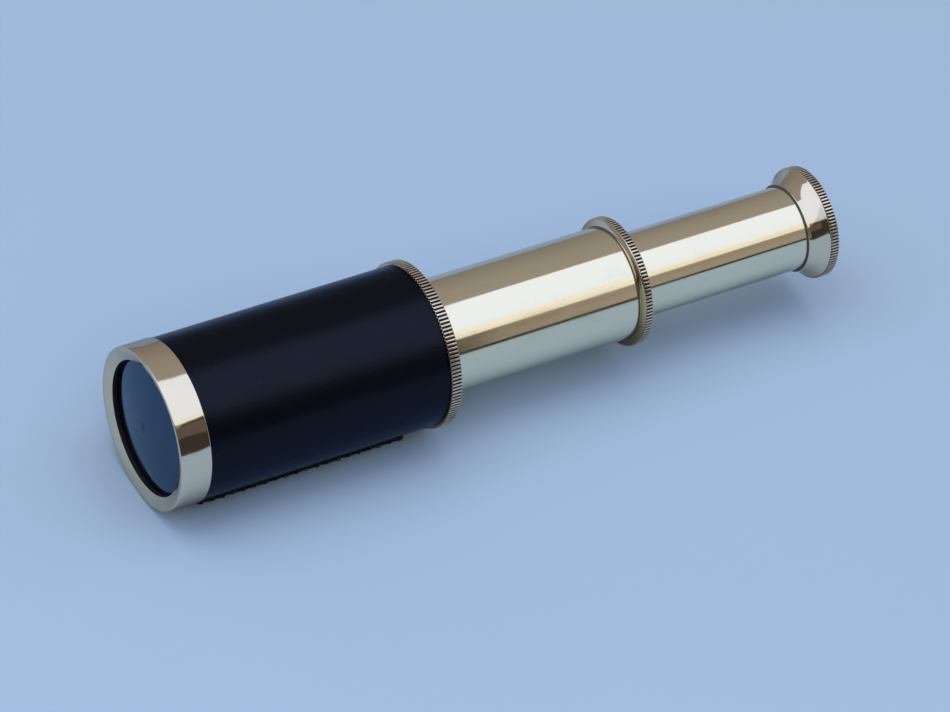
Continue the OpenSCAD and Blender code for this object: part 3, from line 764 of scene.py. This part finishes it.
class SPYGLASS_OT_leather(Operator):
    """Wrap the barrel in leather, with its edges turned out and stitched underneath"""
    bl_idname = "spyglass.leather"
    bl_label = "Leather cover"

    # Columns and rows of faces, and the gap to the ring at either end
    around = 288
    along = 96
    gap = 0.05 * MM

    def execute(self, context):
        leather = context.scene.spyglass_leather
        self.seam = Vector((0, -math.sin(leather.seam_angle), -math.cos(leather.seam_angle)))
        self.seam_x = (LEATHER[0] + 0.6 * MM, LEATHER[1] - 7.4 * MM)
        cover = self.cover(leather)
        dress(cover, dyed_leather("leather_black_cover"), "barrel", "leather_black", "leather_wrap")
        stitches = self.stitches(leather)
        dress(stitches, waxed_thread("seam_thread"), "barrel", "leather_black")
        return {"FINISHED"}

    def from_seam(self, point):
        """(distance across the seam, radius) of a point."""
        radial = Vector((0, point.y, point.z))
        across = self.seam.cross(Vector((1, 0, 0)))
        return math.atan2(radial.dot(across), radial.dot(self.seam)) * LEATHER_R, radial.length

    def cover(self, leather):
        start, end = LEATHER[0] + self.gap, LEATHER[1] - self.gap
        start_clean()
        bpy.ops.mesh.primitive_circle_add(vertices=self.around, radius=LEATHER_R, fill_type="NOTHING")
        piece = named("leather_cover")
        piece.matrix_world = (
            Matrix.Rotation(-leather.seam_angle, 4, "X") @ Matrix.Rotation(math.pi / 2, 4, "Y"))
        bpy.ops.object.transform_apply(location=True, rotation=True, scale=True)
        edit_points()
        bpy.ops.transform.translate(value=(start, 0, 0))
        for _ in range(self.along):
            bpy.ops.mesh.extrude_region_move(
                TRANSFORM_OT_translate={"value": ((end - start) / self.along, 0, 0)})
        bpy.ops.mesh.select_all(action="SELECT")
        bpy.ops.mesh.normals_make_consistent(inside=False)
        column = 2 * math.pi * LEATHER_R / self.around
        half_seam = 2.5 * column - 0.2 * MM
        pick_faces(piece, lambda face: (
            abs(self.from_seam(face.center)[0]) < half_seam
            and self.seam_x[0] < face.center.x < self.seam_x[1]))
        for _ in range(2):
            bpy.ops.mesh.extrude_region_move(
                TRANSFORM_OT_translate={"value": self.seam * leather.seam_height * 0.5})
        bpy.ops.object.mode_set(mode="OBJECT")
        self.work_seam(piece, leather)
        apply_modifier(piece, "SOLIDIFY", thickness=leather.thickness, offset=-1, use_even_offset=False)
        merged(piece)
        bpy.ops.object.shade_smooth_by_angle(angle=math.radians(60))
        return piece

    def work_seam(self, piece, leather):
        """Draws the leather up to the seam, parts its two edges and makes their tops uneven."""
        low, high = self.seam_x
        run_out = 0.8 * MM
        parting, parting_depth = 0.4 * MM, 0.5 * MM
        drawn_reach, drawn_rise = 2.6 * MM, 0.34 * MM
        side = self.seam.cross(Vector((1, 0, 0)))
        for point in piece.data.vertices:
            across, radius = self.from_seam(point.co)
            rise = radius - LEATHER_R
            out = point.co.copy()
            out.x = 0
            out.normalize()
            x_mm = point.co.x / MM
            on_seam = rise > 0.1 * MM
            if on_seam:
                share = rise / leather.seam_height
                centre = max(0, 1 - abs(across) / parting)
                uneven = noise.noise(Vector((x_mm * 0.55, 3.1, 0)))
                uneven += 0.6 * noise.noise(Vector((x_mm * 1.9, across / MM, 7)))
                drop = parting_depth * centre * share + (
                    0.16 * MM * abs(uneven) + 0.10 * MM * (uneven > 0.2)) * share
                lean = 0.22 * MM * noise.noise(Vector((x_mm * 0.35, 0, 5))) * share
                point.co -= out * drop
                point.co += side * (lean - across * 0.14 * share)
            else:
                ends = min(1, max(0, (point.co.x - low + run_out) / (2 * run_out)),
                           max(0, (high + run_out - point.co.x) / (2 * run_out)))
                lift = drawn_rise * max(0, 1 - abs(across) / drawn_reach) ** 2 * ends
                point.co += out * lift
            place = Vector((x_mm * 0.12, point.co.y / MM * 0.2, point.co.z / MM * 0.2))
            ripple = 0.02 * MM * noise.noise(place)
            point.co += out * ripple

    def stitches(self, leather):
        """One slanted loop of thread over the seam, copied along it."""
        low, high = self.seam_x
        margin = 1 * MM
        count = int((high - low - 2 * margin) / leather.stitch_pitch) + 1
        loop_r, thread_r = 0.86 * MM, 0.13 * MM
        rise, slant = 0.42 * MM, math.radians(24)
        start_clean()
        bpy.ops.mesh.primitive_torus_add(
            major_radius=loop_r, minor_radius=thread_r, major_segments=20, minor_segments=6)
        piece = named("seam_stitches")
        middle = self.seam * (LEATHER_R + rise) + Vector((low + margin, 0, 0))
        piece.matrix_world = (
            Matrix.Translation(middle) @ Matrix.Rotation(-leather.seam_angle, 4, "X")
            @ Matrix.Rotation(slant, 4, "Z") @ Matrix.Rotation(math.pi / 2, 4, "Y")
            @ Matrix.Diagonal((0.78, 1.04, 1, 1)))
        bpy.ops.object.transform_apply(location=True, rotation=True, scale=True)
        apply_modifier(
            piece, "ARRAY", count=count, use_relative_offset=False, use_constant_offset=True,
            constant_offset_displace=(leather.stitch_pitch, 0, 0))
        self.loosen(piece)
        bpy.ops.object.shade_smooth()
        return piece

    def loosen(self, piece):
        """Pulls each stitch a little out of line, as by hand."""
        for point in piece.data.vertices:
            x_mm = point.co.x / MM
            point.co.x += 0.25 * MM * noise.noise(Vector((x_mm * 0.4, 0, 2)))
            point.co += self.seam * (0.12 * MM * noise.noise(Vector((x_mm * 0.37, 4, 2))) - 0.03 * MM)


class SPYGLASS_OT_fittings(Operator):
    """Finish the hidden brass and blackened fittings"""
    bl_idname = "spyglass.fittings"
    bl_label = "Inner fittings"

    def execute(self, context):
        turned = turned_brass("inner_brass")
        black = blackened_metal("blackened_metal")
        for node in (
                "barrel_tube", "barrel_guide_sleeve", "draw1_guide_sleeve",
                "draw1_stop_ring", "draw2_stop_ring"):
            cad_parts[node].material_slots[0].material = turned
        for node in (
                "objective_retaining_ring", "draw1_baffle", "erector_tube", "erector_front_ring",
                "erector_rear_ring", "erector_stop", "eyepiece_spacer", "field_lens_ring", "field_stop"):
            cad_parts[node].material_slots[0].material = black
        return {"FINISHED"}


class SPYGLASS_OT_stage(Operator):
    """Add the floor, the room light, the soft lamps and the camera"""
    bl_idname = "spyglass.stage"
    bl_label = "Stage"

    def execute(self, context):
        self.floor()
        self.room(context)
        self.lamps(context)
        self.camera(context)
        return {"FINISHED"}

    def floor(self):
        """A wide floor that touches the bezel and the barrel collar."""
        start_clean()
        touch = Vector((sum(COLLAR) / 2, 0, -COLLAR_R))
        ahead = Vector((LEATHER[0], 0, -BEZEL_R))
        slope = math.atan2(ahead.z - touch.z, touch.x - ahead.x)
        bpy.ops.mesh.primitive_circle_add(vertices=96, radius=4, fill_type="NGON", location=touch)
        floor = named("floor")
        floor.rotation_euler.y = slope
        bpy.ops.object.transform_apply(location=True, rotation=True, scale=True)
        floor.data.materials.append(floor_paint("floor_paint"))

    def room(self, context):
        """A plain grey room, paler overhead and darker low down on the side behind the camera."""
        stage = context.scene.spyglass_stage
        world = bpy.data.worlds.new("room")
        context.scene.world = world
        world.use_nodes = True
        tree = world.node_tree
        place = tree.nodes.new("ShaderNodeTexCoord")
        parts = tree.nodes.new("ShaderNodeSeparateXYZ")
        tree.links.new(place.outputs["Generated"], parts.inputs[0])

        def share(axis, low, high):
            mask = tree.nodes.new("ShaderNodeMapRange")
            mask.interpolation_type = "SMOOTHSTEP"
            mask.inputs["From Min"].default_value = low
            mask.inputs["From Max"].default_value = high
            tree.links.new(parts.outputs[axis], mask.inputs["Value"])
            return mask.outputs[0]

        def mixed(kind, amount, first, second):
            mix = tree.nodes.new("ShaderNodeMix")
            mix.data_type = kind
            sockets = [socket for socket in mix.inputs if socket.enabled]
            for socket, value in zip(sockets, (amount, first, second)):
                if isinstance(value, bpy.types.NodeSocket):
                    tree.links.new(value, socket)
                else:
                    socket.default_value = value
            return next(socket for socket in mix.outputs if socket.enabled)

        low = mixed("FLOAT", share("Z", 0.57, 0.54), 0.0, share("Y", 0.0, -0.2))
        wall = mixed("RGBA", share("Z", 0.1, 1.0), (*stage.room_colour, 1),
                     (*(1.3 * part for part in stage.room_colour), 1))
        colour = mixed("RGBA", low, wall, (*stage.corner_colour, 1))
        tree.links.new(colour, tree.nodes["Background"].inputs["Color"])

    def lamps(self, context):
        """A large window overhead, a slanting skylight beyond it, warm strips and glows under it, and fills.

        Polished metal doesn't mirror the fills.
        """
        stage = context.scene.spyglass_stage
        daylight = (0.575, 0.69, 1.0)
        self.lamp("window", (46, 101), 1.0, (-0.35, 4.9), stage.window_strength, daylight)
        self.lamp("sill", (38.5, 46), 1.0, (0.3, 3.6), stage.window_strength, (0.62, 0.65, 0.70))
        self.lamp("ledge", (31, 38.5), 1.0, (1.26, 1.68), stage.window_strength, (0.82, 0.81, 0.79))
        self.lamp("glow", (19, 31), 0.9, (0.72, 0.62), stage.glow_strength * 1.15, (0.95, 0.86, 0.78))
        self.lamp("low_glow", (4.5, 19), 0.9, (0.72, 0.62), stage.glow_strength * 1.25, (0.98, 0.89, 0.83))
        self.lamp("front_glow", (20, 34), 0.9, (-0.25, 1.28), stage.glow_strength * 0.33, (0.95, 0.75, 0.70))
        # The panes of the skylight go on where the window stops, and each ends a little further forward
        panes, pane_rise = 6, 6
        for pane in range(panes):
            low, start, end = 101 + pane_rise * pane, -2.8, -0.14 - 0.07 * pane
            self.lamp(
                f"skylight_{pane + 1}", (low, low + pane_rise), 1.0,
                ((start + end) / 2, end - start), stage.window_strength, daylight)
        for name, rise, share in (("top_fill", (75, 125), 0.7), ("side_fill", (12, 50), 0.45)):
            fill = self.lamp(name, rise, 1.8, (-0.3, 2.0), stage.fill_strength * share, (1.0, 0.97, 0.90))
            fill.visible_glossy = False

    def lamp(self, name, rise, away, span, strength, colour):
        """A soft rectangle of even brightness, between two angles of rise and away from the axis.

        span is its x centre and width.
        """
        t = math.radians(sum(rise) / 2)
        height = 2 * away * math.tan(math.radians(rise[1] - rise[0]) / 2)
        towards = Vector((0, -math.cos(t), math.sin(t)))
        bpy.ops.object.light_add(type="AREA", location=towards * away + Vector((span[0], 0, 0)))
        lamp = named(name)
        lamp.data.shape = "RECTANGLE"
        lamp.data.size, lamp.data.size_y = span[1], height
        lamp.data.energy = strength * math.pi * span[1] * height
        lamp.data.color = colour
        lamp.rotation_euler.x = math.pi / 2 - t
        lamp.visible_camera = False
        return lamp

    def camera(self, context):
        """The photograph's view, with its slight roll; the floor mirrored in the tubes gives its height."""
        bpy.ops.object.camera_add(
            location=(-0.52968, -0.759275, 0.818577),
            rotation=[math.radians(angle) for angle in (47.9073, -5.4527, -29.9095)])
        camera = named("camera")
        camera.data.lens = 202.84
        camera.data.sensor_width = 36
        camera.data.clip_start = 0.01
        context.scene.camera = camera
        context.scene.view_settings.view_transform = "Standard"


OPERATORS = (
    SPYGLASS_OT_bezel, SPYGLASS_OT_glass, SPYGLASS_OT_collars, SPYGLASS_OT_draws, SPYGLASS_OT_eyepiece,
    SPYGLASS_OT_leather, SPYGLASS_OT_fittings, SPYGLASS_OT_stage)


class SPYGLASS_PT_panel(Panel):
    """Sizes, colours and pieces of the spyglass"""
    bl_idname = "SPYGLASS_PT_panel"
    bl_label = "Spyglass"
    bl_space_type = "VIEW_3D"
    bl_region_type = "UI"
    bl_category = "Spyglass"

    def draw(self, context):
        for name, group in SETTINGS.items():
            box = self.layout.box()
            box.label(text=group.__doc__)
            for prop in group.__annotations__:
                box.prop(getattr(context.scene, name), prop)
        for operator in OPERATORS:
            self.layout.operator(operator.bl_idname)


def register():
    for group in SETTINGS.values():
        bpy.utils.register_class(group)
    for name, group in SETTINGS.items():
        setattr(bpy.types.Scene, name, PointerProperty(type=group))
    for item in (*OPERATORS, SPYGLASS_PT_panel):
        bpy.utils.register_class(item)


def unregister():
    for item in (SPYGLASS_PT_panel, *reversed(OPERATORS)):
        bpy.utils.unregister_class(item)
    for name in SETTINGS:
        delattr(bpy.types.Scene, name)
    for group in SETTINGS.values():
        bpy.utils.unregister_class(group)


def main():
    register()
    bpy.ops.spyglass.bezel()
    bpy.ops.spyglass.glass()
    bpy.ops.spyglass.collars()
    bpy.ops.spyglass.draws()
    bpy.ops.spyglass.eyepiece()
    bpy.ops.spyglass.leather()
    bpy.ops.spyglass.fittings()
    bpy.ops.spyglass.stage()
    start_clean()


if __name__ == "__main__":
    main()
